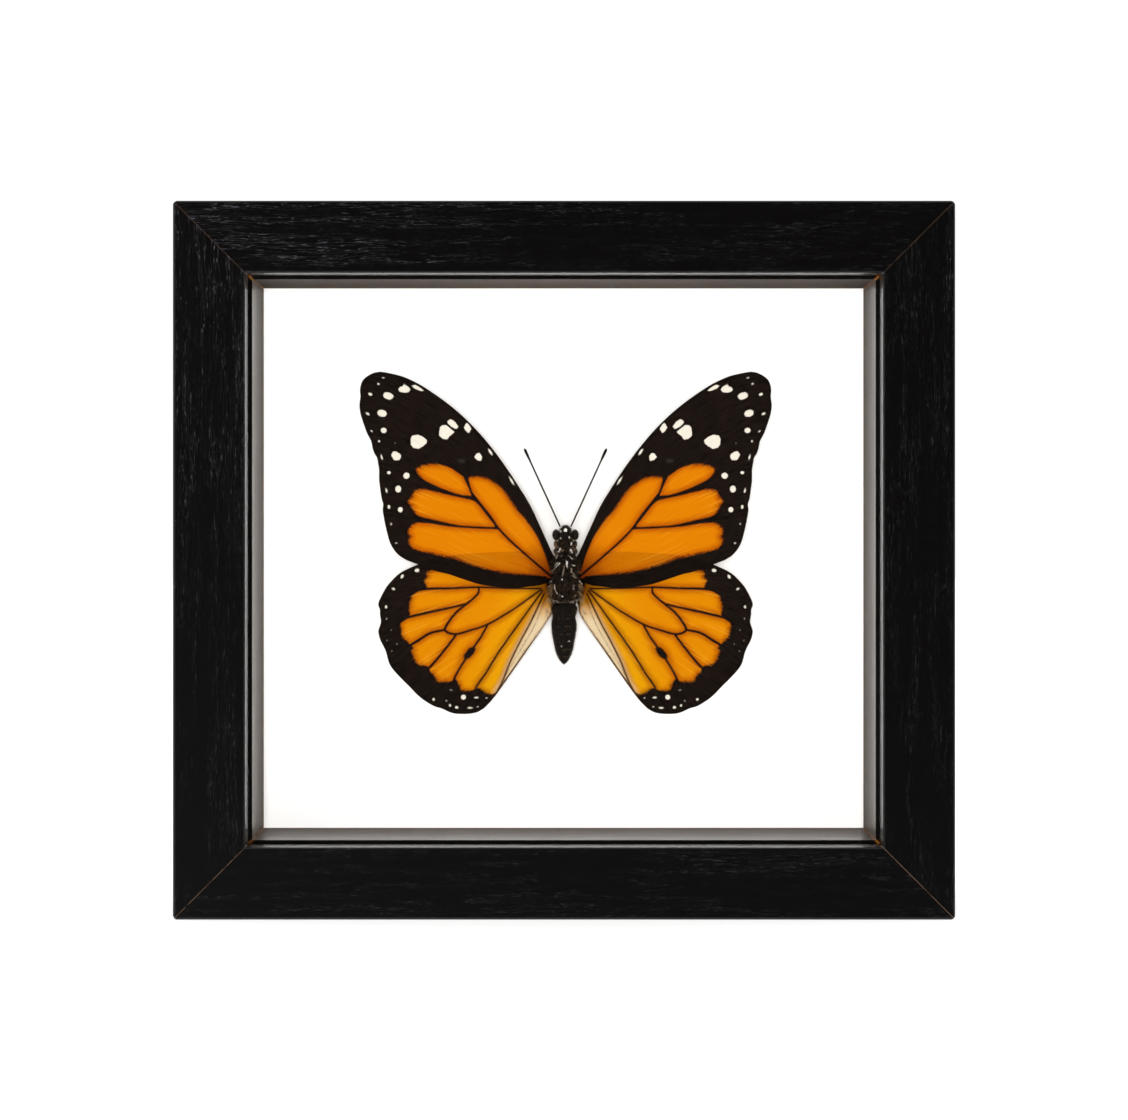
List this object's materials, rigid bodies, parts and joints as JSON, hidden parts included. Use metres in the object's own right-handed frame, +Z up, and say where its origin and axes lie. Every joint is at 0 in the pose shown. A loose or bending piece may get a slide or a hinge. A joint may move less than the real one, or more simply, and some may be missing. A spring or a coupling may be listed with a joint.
{
  "type": "framed butterfly specimen",
  "caption": "Spread monarch butterfly pinned above white board in a deep black wooden shadow-box frame with a glazed front and a recessed back panel with a hanger.",
  "frame": {"origin": "middle of the frame's footprint, on the underside of the bottom rail", "axes": "+Z up, +X along the frame's width, the glass faces -Y"},
  "size_m": [0.148, 0.04, 0.136],
  "materials": {
    "frame_wood": "black stain over open grain, satin",
    "glass": "clear float glass",
    "spacer_strip": "black paint, satin",
    "mount_board": "white paper face, matte",
    "hardboard": "pressed fibre, matte",
    "steel": "zinc plated",
    "wing_scales": "orange and black scales, matte",
    "insect_body": "black hair and shell with white dots"
  },
  "bodies": {
    "root": {"frame_top": "frame_wood", "frame_bottom": "frame_wood", "frame_left": "frame_wood", "frame_right": "frame_wood", "glass": "glass", "spacer_top": "spacer_strip", "spacer_bottom": "spacer_strip", "spacer_left": "spacer_strip", "spacer_right": "spacer_strip", "mount_board": "mount_board", "back_panel": "hardboard", "framer_point_top_1": "steel", "framer_point_top_2": "steel", "framer_point_bottom_1": "steel", "framer_point_bottom_2": "steel", "framer_point_left_1": "steel", "framer_point_left_2": "steel", "framer_point_right_1": "steel", "framer_point_right_2": "steel", "hanger": "steel", "hanger_nail_1": "steel", "hanger_nail_2": "steel", "pin": "steel", "head": "insect_body", "thorax": "insect_body", "abdomen": "insect_body", "antenna_left": "insect_body", "antenna_right": "insect_body", "forewing_left": "wing_scales", "forewing_right": "wing_scales", "hindwing_left": "wing_scales", "hindwing_right": "wing_scales"}
  },
  "joints": []
}
